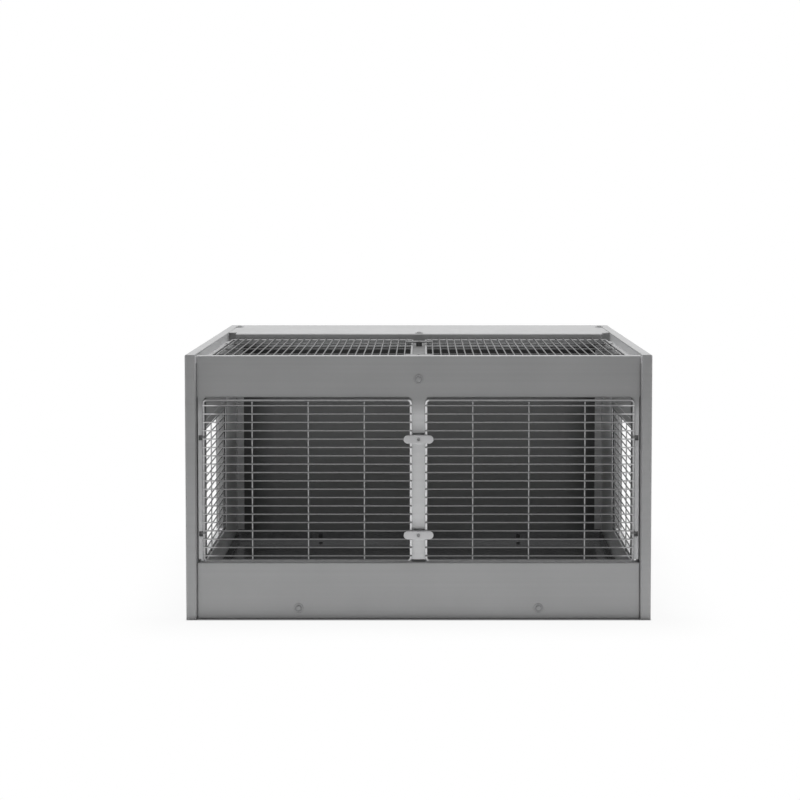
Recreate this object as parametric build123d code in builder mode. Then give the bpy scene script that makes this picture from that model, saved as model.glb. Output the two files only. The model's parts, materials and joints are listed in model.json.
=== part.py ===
"""Small animal hutch: board walls, mesh doors, lids and side windows, and a pull-out litter tray.

X runs to the right, Y to the back and Z up. The origin is on the floor under the middle of the
hutch, and the front of the hutch faces -Y. All sizes are in millimetres.
"""

from build123d import *

import os
from math import cos, radians, sin

# Overall size of the board box
overall_width = 1000.0
overall_depth = 780.0
side_height = 573.0

# Boards and the gaps between pieces
board = 23.0
board_edge = 2.0
fit_gap = 0.3
run_gap = 0.05

# Front frame: one board with a top rail, two jambs and a centre post
front_recess = 13.0
rail_drop = 4.0
rail_height = 89.0
jamb_width = 15.5
jamb_side_gap = 2.0
post_width = 34.0
leg_gap = 5.6
opening_corner = 6.0

# Litter tray and its front board
tray_front_recess = 6.0
tray_front_lift = 1.0
tray_front_height = 122.0
tray_front_side_gap = 1.0
tray_lift = 12.0
tray_depth = 27.0
tray_sheet = 1.5
tray_side_gap = 3.0
tray_back_gap = 3.0
tray_hole_spacing = 517.0
tray_hole_height = 13.0
tray_hole_radius = 5.5

# Runners and cross rails under the tray
runner_width = 15.0
runner_inset = 40.0
base_rail_width = 40.0
base_rail_height = 9.7
base_rail_inset = 20.0

# Back board, roof board and the pieces that join them to the front
back_inset = 51.0
roof_depth = 260.0
roof_notch_width = 21.0
roof_notch_depth = 30.0
angle_leaf = 18.0
angle_sheet = 2.0
angle_gap = 3.0
ledge_width = 17.5
ledge_height = 14.0
ledge_drop = 18.3
top_bar_height = 46.0
top_bar_lap = 40.0

# Wire of the doors, lids and windows
frame_wire = 5.0
wire_corner = 7.0
corner_chords = 3
wire_sides = 8
mesh_wire = 3.0
mesh_pitch = 18.05
mesh_margin = 6.0
lid_margin = 12.0
upright_pitch = 120.4
upright_margin = 60.0

# Doors and lids
hinge_inset = 15.0
edge_inset = 0.6
door_top_gap = 3.5
door_bottom_gap = 2.3
door_upright_inset = 100.0
lid_end_gap = 3.5

# Side windows
window_front = 56.0
window_length = 418.0
window_sill = 95.0
window_height = 302.0
window_corner = 6.0
rebate_width = 8.0
trim_width = 16.0
trim_sheet = 2.0

# Hinge clips
clip_strap = 1.4
clip_ring_height = 5.0
clip_tail_height = 11.0
clip_tail_length = 8.0
clip_pocket_depth = 10.0
clip_rise = 1.0
clip_bar_gap = 0.6

# Turn latches
latch_length = 64.0
latch_width = 17.6
latch_plate = 3.4
latch_edge = 1.0
latch_boss_radius = 7.0
latch_top_inset = 89.0
latch_bottom_inset = 55.4
lid_latch_front_inset = 36.0
lid_latch_back_inset = 130.0
latch_slot_length = 26.0
latch_slot_width = 3.6
latch_slot_depth = 8.0

# Rivets that the latches turn on
rivet_radius = 2.5
rivet_tail = 14.0
rivet_head_radius = 3.4
rivet_head_height = 0.8

# Domed screws of the rail, roof and tray
dome_washer_radius = 10.5
dome_washer_taper = 45.0
dome_sides = 12
dome_radius = 6.0
dome_seat = 1.8
dome_height = 4.0
dome_taper = 40.0
dome_shank_radius = 3.0
dome_grip = 16.0
rail_screw_drop = 50.0
roof_screw_inset = 7.0
roof_screw_edge = 13.0

os.makedirs("parts", exist_ok=True)

# Planes of the boards
front_y = -overall_depth / 2
back_y = overall_depth / 2
inner_x = overall_width / 2 - board
inner_half_width = inner_x - fit_gap
frame_y = front_y + front_recess
frame_back_y = frame_y + board
back_board_y = back_y - back_inset - board
back_board_middle_y = back_board_y + board / 2
roof_bottom = side_height - board
roof_y = back_y - roof_depth
roof_notch_x = inner_half_width - roof_notch_width / 2
rail_top = side_height - rail_drop
rail_bottom = rail_top - rail_height

# Tray, and the legs of the front frame that end above its front board
tray_front_y = front_y + tray_front_recess
tray_front_top = tray_front_lift + tray_front_height
tray_y = tray_front_y + board
tray_back_y = back_board_y - tray_back_gap
tray_length = tray_back_y - tray_y
tray_middle_y = (tray_back_y + tray_y) / 2
tray_half_width = inner_x - tray_side_gap
tray_top = tray_lift + tray_depth
leg_bottom = tray_front_top + leg_gap
leg_length = rail_bottom - leg_bottom
jamb_x = inner_x - jamb_side_gap - jamb_width / 2
runner_height = tray_lift - fit_gap
runner_y = front_y + runner_inset
runner_length = back_board_y - runner_y
base_rail_ys = (
    runner_y + base_rail_inset + base_rail_width / 2,
    back_board_y - base_rail_inset - base_rail_width / 2,
)

# Lid ledges and top centre bar, level at the top
ledge_top = side_height - ledge_drop
ledge_length = roof_y - frame_back_y
top_bar_bottom = ledge_top - top_bar_height

# A door hangs in front of the frame on its outer wire, and a lid lies on the ledge in the same way
hinge_x = -inner_x + hinge_inset
free_x = -post_width / 2 + edge_inset
leaf_width = free_x - hinge_x
leaf_middle_x = (free_x + hinge_x) / 2
wire_radius = frame_wire / 2
bar_offset = (frame_wire + mesh_wire) / 2
cross_offset = bar_offset - mesh_wire
door_y = frame_y - fit_gap - wire_radius
door_top = rail_bottom - door_top_gap - wire_radius
door_bottom = tray_front_top + door_bottom_gap + wire_radius
door_height = door_top - door_bottom
door_middle = (door_top + door_bottom) / 2
lid_z = ledge_top + fit_gap + wire_radius
lid_front_y = frame_back_y + lid_end_gap + wire_radius
lid_back_y = roof_y - lid_end_gap - wire_radius
lid_length = lid_back_y - lid_front_y
lid_middle_y = (lid_front_y + lid_back_y) / 2

# Side windows: uprights against the rebate, bars on their inner side
window_y = front_y + window_front + window_length / 2
window_z = window_sill + window_height / 2
rebate_depth = 2 * mesh_wire + fit_gap
mesh_overlap = rebate_width - fit_gap
window_upright_x = -inner_x - rebate_depth + mesh_wire / 2
window_bar_x = window_upright_x + mesh_wire

# Latches stand clear of the wires on a boss
latch_back = 2 * fit_gap + frame_wire + mesh_wire
latch_slot_shift = (latch_width + latch_slot_width) / 2
door_latch_zs = (leg_bottom + latch_bottom_inset, rail_bottom - latch_top_inset)
lid_latch_ys = (frame_back_y + lid_latch_front_inset, roof_y - lid_latch_back_inset)

# Hinge clips and their pockets, in the left half of the hutch
clip_bore = wire_radius + run_gap
clip_outside = clip_bore + clip_strap
clip_floor = wire_radius + fit_gap + clip_pocket_depth
pocket_outer_x = hinge_x - clip_bore - clip_tail_length - fit_gap
pocket_inner_x = hinge_x + clip_outside + fit_gap
pocket_x = (pocket_outer_x + pocket_inner_x) / 2
pocket_width = pocket_inner_x - pocket_outer_x
pocket_span = clip_tail_height + 2 * fit_gap

# Screws: places on the boards that they go through
rail_screw_z = rail_top - rail_screw_drop
tray_screw_z = tray_lift + tray_hole_height
tray_screw_xs = (-tray_hole_spacing / 2, tray_hole_spacing / 2)
roof_screw_x = inner_x - roof_screw_inset
roof_screw_y = roof_y + roof_screw_edge
back_roof_screws = [(-roof_screw_x, back_board_middle_y), (roof_screw_x, back_board_middle_y)]


def wires_across(length, margin, pitch):
    """Number of wires at a pitch that leaves at least a margin at both ends of a length."""
    return int((length - 2 * margin) // pitch) + 1


def clip_base(latch_z):
    """Height of the foot of a hinge clip's ring: beside a latch, in the gap between two bars."""
    lowest_bar = door_middle - (door_bar_count - 1) / 2 * mesh_pitch
    bars_below = (latch_z + mesh_wire - lowest_bar) // mesh_pitch
    bar_z = lowest_bar + bars_below * mesh_pitch
    clear = mesh_wire / 2 + clip_bar_gap
    lowest = bar_z + clear
    highest = bar_z + mesh_pitch - clear - clip_ring_height
    return min(max(latch_z + clip_rise, lowest), highest)


door_bar_count = wires_across(door_height, mesh_margin, mesh_pitch)
lid_bar_count = wires_across(leaf_width, lid_margin, mesh_pitch)
lid_cross_count = wires_across(lid_length, upright_margin, upright_pitch)
window_bar_count = wires_across(window_height, mesh_margin, mesh_pitch)
window_upright_count = wires_across(window_length, upright_margin, upright_pitch)
door_upright_count = int((leaf_width - door_upright_inset - upright_margin) // upright_pitch) + 1
door_clip_zs = [clip_base(latch_z) for latch_z in door_latch_zs]
lid_clip_ys = [latch_y - clip_ring_height / 2 for latch_y in lid_latch_ys]


def facing_front(x, y, z):
    """Upright plane at a point, with its normal towards the front."""
    return Plane(origin=(x, y, z), x_dir=(1, 0, 0), z_dir=(0, -1, 0))


def facing_right(x, y, z):
    """Upright plane at a point, with its normal towards +X and its first axis to the back."""
    return Plane(origin=(x, y, z), x_dir=(0, 1, 0), z_dir=(1, 0, 0))


def octagon(diameter, mode=Mode.ADD):
    """Section with eight flats round a circle of a diameter, in the active sketch."""
    RegularPolygon(diameter / 2, wire_sides, major_radius=False, rotation=180 / wire_sides, mode=mode)


def finish(name, builder):
    """Label a finished piece and write its STEP file."""
    builder.part.label = name
    export_step(builder.part, f"parts/{name}.step")


def finish_pair(name, builder):
    """Write a left-hand piece and its mirror image on the right."""
    finish(f"left_{name}", builder)
    with BuildPart() as mirrored:
        mirror(builder.part, about=Plane.YZ)
    finish(f"right_{name}", mirrored)


def domed_screw(length):
    """Screw with a washer and a domed head: the washer's seat at Z = 0, the shank along -Z."""
    with BuildPart() as screw:
        with BuildSketch():
            RegularPolygon(dome_washer_radius, dome_sides)
        extrude(amount=dome_seat, taper=dome_washer_taper)
        with BuildSketch(Plane.XY.offset(dome_seat)):
            RegularPolygon(dome_radius, dome_sides)
        extrude(amount=dome_height - dome_seat, taper=dome_taper)
        with BuildSketch():
            octagon(2 * dome_shank_radius)
        extrude(amount=-length)
    return screw.part


def turn_latch():
    """Pill-shaped turn latch on a boss: its pivot along Z, the face that it turns on at Z = 0."""
    with BuildPart() as latch:
        with BuildSketch(Plane.XY.offset(latch_back)):
            SlotOverall(latch_length, latch_width)
        extrude(amount=latch_plate)
        chamfer(latch.faces().sort_by(Axis.Z)[-1].edges(), latch_edge)
        with BuildSketch(Plane.XY.offset(fit_gap)):
            octagon(2 * latch_boss_radius)
        extrude(amount=latch_back - fit_gap)
        Hole(rivet_radius + run_gap)
    return latch.part


def latch_rivet():
    """Rivet of a turn latch: its tail goes into the face at Z = 0, its head stands on the latch."""
    head_seat = latch_back + latch_plate + run_gap
    with BuildPart() as rivet:
        with BuildSketch(Plane.XY.offset(head_seat)):
            octagon(2 * rivet_head_radius)
        extrude(amount=rivet_head_height)
        with BuildSketch(Plane.XY.offset(-rivet_tail)):
            Circle(rivet_radius)
        extrude(amount=rivet_tail + head_seat)
    return rivet.part


def hinge_clip():
    """Strap round a hinge wire along Z: it runs along +Y to a pocket's floor, its tail along -X."""
    with BuildPart() as clip:
        with BuildSketch():
            octagon(2 * clip_outside)
            with Locations((-clip_outside, 0)):
                Rectangle(clip_strap, clip_floor, align=(Align.MIN, Align.MIN))
            octagon(2 * clip_bore, mode=Mode.SUBTRACT)
        extrude(amount=clip_ring_height)
        with BuildSketch(Plane.XY.offset(clip_ring_height - clip_tail_height)):
            with Locations((-clip_bore, clip_floor)):
                Rectangle(clip_tail_length, clip_strap, align=(Align.MAX, Align.MAX))
        extrude(amount=clip_tail_height)
    return clip.part


def wire_frame(plane, width, length):
    """Wire bent into a rectangle on a plane, with rounded corners and a round hinge leg on its left."""
    leg_end = length / 2 - 2 * wire_corner
    points = [(-width / 2, leg_end)]
    for side, end, start_angle in ((-1, 1, 180), (1, 1, 90), (1, -1, 0), (-1, -1, -90)):
        centre_x = side * (width / 2 - wire_corner)
        centre_y = end * (length / 2 - wire_corner)
        for chord in range(corner_chords + 1):
            angle = radians(start_angle - 90 * chord / corner_chords)
            points.append((centre_x + wire_corner * cos(angle), centre_y + wire_corner * sin(angle)))
    points.append((-width / 2, -leg_end))
    with BuildPart() as frame:
        with BuildLine(plane) as path:
            Polyline(*points)
        with BuildSketch(Plane(origin=path.line @ 0, x_dir=plane.z_dir, z_dir=path.line % 0)):
            octagon(frame_wire)
        sweep(path=path.line, transition=Transition.RIGHT)
        with BuildSketch(Plane(origin=path.line @ 0, z_dir=path.line % 0)):
            Circle(wire_radius)
        extrude(amount=-2 * leg_end)
    return frame.part


# Side boards, with a window and the rebate for its mesh
with BuildPart() as side_panel:
    with BuildSketch(facing_right(-overall_width / 2, 0, 0)):
        with Locations((0, side_height / 2)):
            Rectangle(overall_depth, side_height)
        with Locations((window_y, window_z)):
            RectangleRounded(window_length, window_height, window_corner, mode=Mode.SUBTRACT)
    extrude(amount=board)
    chamfer(side_panel.faces().sort_by(Axis.X)[0].outer_wire().edges(), board_edge)
    chamfer(side_panel.faces().sort_by(Axis.X)[-1].outer_wire().edges(), board_edge)
    with BuildSketch(facing_right(-inner_x, window_y, window_z)):
        Rectangle(window_length + 2 * rebate_width, window_height + 2 * rebate_width)
    extrude(amount=-rebate_depth, mode=Mode.SUBTRACT)
finish_pair("side_panel", side_panel)

# Mesh of a side window, with a trim ring that holds it in the rebate
with BuildPart() as window_uprights:
    with BuildSketch(Plane(origin=(window_upright_x, window_y, window_sill - mesh_overlap))):
        with GridLocations(0, upright_pitch, 1, window_upright_count):
            octagon(mesh_wire)
        with GridLocations(0, window_length + rebate_width, 1, 2):
            octagon(mesh_wire)
    extrude(amount=window_height + 2 * mesh_overlap)
finish_pair("window_uprights", window_uprights)

with BuildPart() as window_bars:
    with BuildSketch(facing_front(window_bar_x, window_y + window_length / 2 + mesh_overlap, window_z)):
        with GridLocations(0, mesh_pitch, 1, window_bar_count):
            octagon(mesh_wire)
    extrude(amount=window_length + 2 * mesh_overlap)
finish_pair("window_bars", window_bars)

with BuildPart() as window_trim:
    with BuildSketch(facing_right(-inner_x, window_y, window_z)):
        Rectangle(window_length + 2 * trim_width, window_height + 2 * trim_width)
        Rectangle(window_length, window_height, mode=Mode.SUBTRACT)
    extrude(amount=trim_sheet)
finish_pair("window_trim", window_trim)

# Back board, let in from the rear edges of the sides
with BuildPart() as back_panel:
    with BuildSketch(facing_front(0, back_board_y, 0)):
        Rectangle(2 * inner_half_width, roof_bottom, align=(Align.CENTER, Align.MIN))
    extrude(amount=-board)
    with BuildSketch(Plane.XY.offset(roof_bottom)):
        with Locations(*back_roof_screws):
            octagon(2 * (dome_shank_radius + run_gap))
    extrude(amount=-dome_grip - run_gap, mode=Mode.SUBTRACT)
finish("back_panel", back_panel)

# Front frame: rail, jambs and post cut from one board
with BuildPart() as front_frame:
    with BuildSketch(facing_front(0, frame_back_y, 0)) as front_outline:
        with Locations((0, rail_bottom)):
            Rectangle(2 * inner_half_width, rail_height, align=(Align.CENTER, Align.MIN))
        with Locations((0, leg_bottom)):
            Rectangle(post_width, leg_length, align=(Align.CENTER, Align.MIN))
        with Locations((-jamb_x, leg_bottom), (jamb_x, leg_bottom)):
            Rectangle(jamb_width, leg_length, align=(Align.CENTER, Align.MIN))
        inner_corners = front_outline.vertices().filter_by(
            lambda corner: abs(corner.Y - rail_bottom) < fit_gap and abs(corner.X) < jamb_x
        )
        fillet(inner_corners, opening_corner)
    extrude(amount=board)
    chamfer(front_frame.faces().sort_by(Axis.Y)[0].edges(), board_edge)
    # Pockets for the hinge clips
    with BuildSketch(facing_front(0, frame_y, 0)):
        for clip_z in door_clip_zs:
            pocket_top = clip_z + clip_ring_height + fit_gap
            with Locations((-pocket_x, pocket_top), (pocket_x, pocket_top)):
                Rectangle(pocket_width, pocket_span, align=(Align.CENTER, Align.MAX))
    extrude(amount=-clip_pocket_depth, mode=Mode.SUBTRACT)
    # Slots over the latches, rivet holes and screw holes
    with BuildSketch(facing_front(0, frame_y, 0)):
        with Locations(*[(0, latch_z + latch_slot_shift) for latch_z in door_latch_zs]):
            Rectangle(latch_slot_length, latch_slot_width)
    extrude(amount=-latch_slot_depth, mode=Mode.SUBTRACT)
    with BuildSketch(facing_front(0, frame_y, 0)):
        with Locations(*[(0, latch_z) for latch_z in door_latch_zs]):
            Circle(rivet_radius + run_gap)
    extrude(amount=-rivet_tail - run_gap, mode=Mode.SUBTRACT)
    with BuildSketch(facing_front(0, frame_y, rail_screw_z)):
        octagon(2 * (dome_shank_radius + run_gap))
    extrude(amount=-board, mode=Mode.SUBTRACT)
finish("front_frame", front_frame)

# Roof board over the rear part, cut out at its front corners
with BuildPart() as roof_plate:
    with BuildSketch(Plane.XY.offset(roof_bottom)):
        with Locations((0, roof_y)):
            Rectangle(2 * inner_half_width, roof_depth, align=(Align.CENTER, Align.MIN))
        with Locations((-roof_notch_x, roof_y), (roof_notch_x, roof_y)):
            Rectangle(
                roof_notch_width,
                roof_notch_depth,
                align=(Align.CENTER, Align.MIN),
                mode=Mode.SUBTRACT,
            )
    extrude(amount=board)
    chamfer(roof_plate.edges().filter_by(Axis.X).group_by(Axis.Z)[-1], board_edge)
    with BuildSketch(Plane.XY.offset(side_height)):
        with Locations((0, roof_screw_y), *back_roof_screws):
            octagon(2 * (dome_shank_radius + run_gap))
    extrude(amount=-board, mode=Mode.SUBTRACT)
finish("roof_plate", roof_plate)

# Top centre bar, lapped under the roof board
with BuildPart() as top_centre_bar:
    with BuildSketch(facing_right(-post_width / 2, frame_back_y, 0)):
        with Locations((0, top_bar_bottom)):
            Rectangle(ledge_length, top_bar_height, align=(Align.MIN, Align.MIN))
        with Locations((ledge_length, top_bar_bottom)):
            Rectangle(top_bar_lap, roof_bottom - top_bar_bottom, align=(Align.MIN, Align.MIN))
    extrude(amount=post_width)
    with BuildSketch(Plane.XY.offset(ledge_top)):
        with Locations(*[(0, latch_y + latch_slot_shift) for latch_y in lid_latch_ys]):
            Rectangle(latch_slot_length, latch_slot_width)
    extrude(amount=-latch_slot_depth, mode=Mode.SUBTRACT)
    with BuildSketch(Plane.XY.offset(ledge_top)):
        with Locations(*[(0, latch_y) for latch_y in lid_latch_ys]):
            Circle(rivet_radius + run_gap)
    extrude(amount=-rivet_tail - run_gap, mode=Mode.SUBTRACT)
    with BuildSketch(Plane.XY.offset(roof_bottom)):
        with Locations((0, roof_screw_y)):
            octagon(2 * (dome_shank_radius + run_gap))
    extrude(amount=-dome_grip - run_gap, mode=Mode.SUBTRACT)
    with BuildSketch(facing_front(0, frame_back_y, rail_screw_z)):
        octagon(2 * (dome_shank_radius + run_gap))
    extrude(amount=-dome_grip - run_gap, mode=Mode.SUBTRACT)
finish("top_centre_bar", top_centre_bar)

# Ledges that the lids are hinged on
with BuildPart() as lid_ledge:
    with BuildSketch(facing_front(-inner_x, frame_back_y, ledge_top - ledge_height)):
        Rectangle(ledge_width, ledge_height, align=(Align.MIN, Align.MIN))
    extrude(amount=-ledge_length)
    with BuildSketch(Plane.XY.offset(ledge_top)):
        with Locations(*[(pocket_x, clip_y + clip_ring_height + fit_gap) for clip_y in lid_clip_ys]):
            Rectangle(pocket_width, pocket_span, align=(Align.CENTER, Align.MAX))
    extrude(amount=-clip_pocket_depth, mode=Mode.SUBTRACT)
finish_pair("lid_ledge", lid_ledge)

# Angles in the rear corners
with BuildPart() as rear_corner_angle:
    with BuildSketch(Plane.XY.offset(tray_top + angle_gap)):
        with Locations((-inner_x, back_board_y)):
            Rectangle(angle_leaf, angle_sheet, align=(Align.MIN, Align.MAX))
            Rectangle(angle_sheet, angle_leaf, align=(Align.MIN, Align.MAX))
    extrude(amount=roof_bottom - tray_top - angle_gap)
finish_pair("rear_corner_angle", rear_corner_angle)

# Runners along the sides and cross rails between them carry the tray
with BuildPart() as tray_runner:
    with BuildSketch(facing_front(-inner_x, runner_y, 0)):
        Rectangle(runner_width, runner_height, align=(Align.MIN, Align.MIN))
    extrude(amount=-runner_length)
finish_pair("tray_runner", tray_runner)

with BuildPart() as base_cross_rails:
    with BuildSketch(Plane.XY.offset(runner_height)):
        with Locations(*[(0, rail_y) for rail_y in base_rail_ys]):
            Rectangle(2 * (inner_x - runner_width), base_rail_width)
    extrude(amount=-base_rail_height)
finish("base_cross_rails", base_cross_rails)

# Litter tray: a floor sheet between four flanges, with holes in the front and rear ones
with BuildPart() as tray_floor:
    with BuildSketch(Plane.XY.offset(tray_lift)):
        with Locations((0, tray_middle_y)):
            Rectangle(2 * (tray_half_width - tray_sheet), tray_length - 2 * tray_sheet)
    extrude(amount=tray_sheet)
finish("tray_floor", tray_floor)

with BuildPart() as tray_side_flanges:
    with BuildSketch(Plane.XY.offset(tray_lift)):
        with Locations((0, tray_middle_y)):
            with GridLocations(2 * tray_half_width - tray_sheet, 0, 2, 1):
                Rectangle(tray_sheet, tray_length)
    extrude(amount=tray_depth)
finish("tray_side_flanges", tray_side_flanges)

with BuildPart() as tray_end_flanges:
    with BuildSketch(Plane.XY.offset(tray_lift)):
        with Locations((0, tray_middle_y)):
            with GridLocations(0, tray_length - tray_sheet, 1, 2):
                Rectangle(2 * (tray_half_width - tray_sheet), tray_sheet)
    extrude(amount=tray_depth)
    with BuildSketch(facing_front(0, tray_y, tray_screw_z)):
        with GridLocations(tray_hole_spacing, 0, 2, 1):
            octagon(2 * (dome_shank_radius + run_gap))
    extrude(amount=-tray_sheet, mode=Mode.SUBTRACT)
    with BuildSketch(facing_front(0, tray_back_y, tray_screw_z)):
        with GridLocations(tray_hole_spacing, 0, 2, 1):
            Circle(tray_hole_radius)
    extrude(amount=tray_sheet, mode=Mode.SUBTRACT)
finish("tray_end_flanges", tray_end_flanges)

with BuildPart() as tray_front_panel:
    with BuildSketch(facing_front(0, tray_y, tray_front_lift)):
        Rectangle(
            2 * (inner_x - tray_front_side_gap),
            tray_front_height,
            align=(Align.CENTER, Align.MIN),
        )
    extrude(amount=board)
    chamfer(tray_front_panel.faces().sort_by(Axis.Y)[0].edges(), board_edge)
    with BuildSketch(facing_front(0, tray_front_y, tray_screw_z)):
        with GridLocations(tray_hole_spacing, 0, 2, 1):
            octagon(2 * (dome_shank_radius + run_gap))
    extrude(amount=-board, mode=Mode.SUBTRACT)
finish("tray_front_panel", tray_front_panel)

# Domed screws of the tray, the rail and the roof
tray_screw_length = board + tray_sheet + dome_shank_radius
with BuildPart() as tray_screws:
    with Locations(*[facing_front(x, tray_front_y, tray_screw_z) for x in tray_screw_xs]):
        add(domed_screw(tray_screw_length))
finish("tray_screws", tray_screws)

with BuildPart() as frame_screws:
    with Locations(facing_front(0, frame_y, rail_screw_z)):
        add(domed_screw(board + dome_grip))
    with Locations(*[(x, y, side_height) for x, y in [(0, roof_screw_y), *back_roof_screws]]):
        add(domed_screw(board + dome_grip))
finish("frame_screws", frame_screws)

# Doors: bent frame wire, uprights level with it, bars across the front of both
with BuildPart() as door_frame:
    add(wire_frame(facing_front(leaf_middle_x, door_y, door_middle), leaf_width, door_height))
finish_pair("door_frame", door_frame)

with BuildPart() as door_bars:
    with BuildSketch(facing_right(hinge_x, door_y - bar_offset, door_middle)):
        with GridLocations(0, mesh_pitch, 1, door_bar_count):
            octagon(mesh_wire)
    extrude(amount=leaf_width + wire_radius)
finish_pair("door_bars", door_bars)

with BuildPart() as door_uprights:
    upright_xs = [free_x - door_upright_inset - step * upright_pitch for step in range(door_upright_count)]
    with BuildSketch(Plane.XY.offset(door_bottom + wire_radius)):
        with Locations(*[(x, door_y - cross_offset) for x in upright_xs]):
            octagon(mesh_wire)
    extrude(amount=door_height - frame_wire)
finish_pair("door_uprights", door_uprights)

# Lids: the same wire, lying flat, with the close bars along the hutch
with BuildPart() as lid_frame:
    add(wire_frame(Plane(origin=(leaf_middle_x, lid_middle_y, lid_z)), leaf_width, lid_length))
finish_pair("lid_frame", lid_frame)

with BuildPart() as lid_bars:
    with BuildSketch(facing_front(leaf_middle_x, lid_back_y + wire_radius, lid_z + bar_offset)):
        with GridLocations(mesh_pitch, 0, lid_bar_count, 1):
            octagon(mesh_wire)
    extrude(amount=lid_length + frame_wire)
finish_pair("lid_bars", lid_bars)

with BuildPart() as lid_cross_wires:
    with BuildSketch(facing_right(hinge_x + wire_radius, lid_middle_y, lid_z + cross_offset)):
        with GridLocations(upright_pitch, 0, lid_cross_count, 1):
            octagon(mesh_wire)
    extrude(amount=leaf_width - frame_wire)
finish_pair("lid_cross_wires", lid_cross_wires)

# Hinge clips in the pockets of the jambs and ledges
with BuildPart() as door_hinge_clips:
    with Locations(*[(hinge_x, door_y, clip_z) for clip_z in door_clip_zs]):
        add(hinge_clip())
finish_pair("door_hinge_clips", door_hinge_clips)

with BuildPart() as lid_hinge_clips:
    with Locations(
        *[Plane(origin=(hinge_x, clip_y, lid_z), x_dir=(1, 0, 0), z_dir=(0, 1, 0)) for clip_y in lid_clip_ys]
    ):
        add(hinge_clip())
finish_pair("lid_hinge_clips", lid_hinge_clips)

# Turn latches and the rivets that they turn on
door_latch_planes = [facing_front(0, frame_y, latch_z) for latch_z in door_latch_zs]
lid_latch_planes = [Plane(origin=(0, latch_y, ledge_top)) for latch_y in lid_latch_ys]

with BuildPart() as door_latch_rivets:
    with Locations(*door_latch_planes):
        add(latch_rivet())
finish("door_latch_rivets", door_latch_rivets)

with BuildPart() as lid_latch_rivets:
    with Locations(*lid_latch_planes):
        add(latch_rivet())
finish("lid_latch_rivets", lid_latch_rivets)

latch_names = ("lower_door_latch", "upper_door_latch", "front_lid_latch", "rear_lid_latch")
for latch_name, latch_plane in zip(latch_names, door_latch_planes + lid_latch_planes):
    with BuildPart() as placed_latch:
        with Locations(latch_plane):
            add(turn_latch())
    finish(latch_name, placed_latch)
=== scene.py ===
"""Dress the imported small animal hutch: soft-edged boards, round welded wire, latches, clips and screws.

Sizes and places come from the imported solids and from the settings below. Lengths are in metres, X runs to
the right, Y to the back and Z up, and the front of the hutch faces -Y.
"""

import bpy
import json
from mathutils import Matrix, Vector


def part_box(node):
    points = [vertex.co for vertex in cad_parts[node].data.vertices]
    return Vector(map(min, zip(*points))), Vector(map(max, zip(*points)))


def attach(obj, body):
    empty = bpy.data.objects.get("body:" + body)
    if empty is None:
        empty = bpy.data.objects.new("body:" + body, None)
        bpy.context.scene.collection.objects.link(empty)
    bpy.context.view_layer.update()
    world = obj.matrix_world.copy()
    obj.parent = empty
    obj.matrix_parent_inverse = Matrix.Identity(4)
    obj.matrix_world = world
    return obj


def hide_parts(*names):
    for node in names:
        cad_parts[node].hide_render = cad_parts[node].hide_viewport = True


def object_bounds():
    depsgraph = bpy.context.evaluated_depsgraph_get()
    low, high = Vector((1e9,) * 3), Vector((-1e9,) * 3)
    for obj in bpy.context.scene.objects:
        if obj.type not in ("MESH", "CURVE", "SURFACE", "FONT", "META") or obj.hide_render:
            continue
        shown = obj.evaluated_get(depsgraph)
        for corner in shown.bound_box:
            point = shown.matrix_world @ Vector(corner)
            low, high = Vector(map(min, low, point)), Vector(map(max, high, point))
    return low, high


bl_info = {
    "name": "Small Animal Hutch",
    "version": (1, 0, 0),
    "blender": (4, 5, 0),
    "location": "3D View > Sidebar > Hutch",
    "description": "Forms and paints the pieces of a small animal hutch round its packed solids",
    "category": "Object",
}

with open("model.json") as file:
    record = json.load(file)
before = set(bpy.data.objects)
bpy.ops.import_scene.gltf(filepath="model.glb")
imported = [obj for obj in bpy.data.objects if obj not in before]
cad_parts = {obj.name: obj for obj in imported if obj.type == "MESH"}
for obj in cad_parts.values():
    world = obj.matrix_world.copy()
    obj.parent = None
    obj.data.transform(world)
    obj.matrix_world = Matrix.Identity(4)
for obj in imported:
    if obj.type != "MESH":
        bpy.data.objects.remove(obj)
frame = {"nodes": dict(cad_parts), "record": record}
cad_low, cad_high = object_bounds()

import json
from math import cos, pi, radians, sin

import bmesh
import bpy
from bpy.props import FloatProperty, FloatVectorProperty, IntProperty, PointerProperty
from mathutils import Matrix, Quaternion, Vector

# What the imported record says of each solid
record = frame["record"]
slot_of = {part["node"]: part["material_slot"] for part in record["subparts"]}
body_of = {node: body for body, nodes in record["behaviour"]["bodies"].items() for node in nodes}
joint_places = {joint["name"]: joint.get("pos_m") for joint in record["behaviour"]["joints"]}

# Groups of like pieces
sides = ("left", "right")
boards = [node for node, slot in slot_of.items() if slot == "grey_board"]
sheets = [f"{side}_{piece}" for side in sides for piece in ("rear_corner_angle", "window_trim")]
tray_sheets = ("tray_side_flanges", "tray_end_flanges", "tray_floor")
door_latches = ("lower_door_latch", "upper_door_latch")
lid_latches = ("front_lid_latch", "rear_lid_latch")

# Panels of welded wire: kind, its cross wires, and the axes along its bars, from bar to bar and through it
x_axis, y_axis, z_axis = range(3)
panel_kinds = (
    ("door", "uprights", x_axis, z_axis, y_axis),
    ("lid", "cross_wires", y_axis, x_axis, z_axis),
    ("window", "uprights", y_axis, z_axis, x_axis),
)

# Turns that bring the +Z axis of a fitting to the side that it faces
facing_up = Quaternion()
facing_front = Quaternion((1, 0, 0), radians(90))
facing_back = Quaternion((1, 0, 0), radians(-90))

# Angles up to which faces count as one flat face, or are shaded as one round surface
flat_angle = radians(1)
round_angle = radians(35)

# Fineness of round shapes, and the distance within which points are one
merge_distance = 1e-6
weld_sides, weld_rings = 8, 5
latch_edge_points = 6
floor_sides = 64

# Clip's ring round the wire: its ends in degrees, the points along it, and those along the bend before it
ring_start, ring_end, ring_points, bend_points = 180, 500, 29, 5

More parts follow.
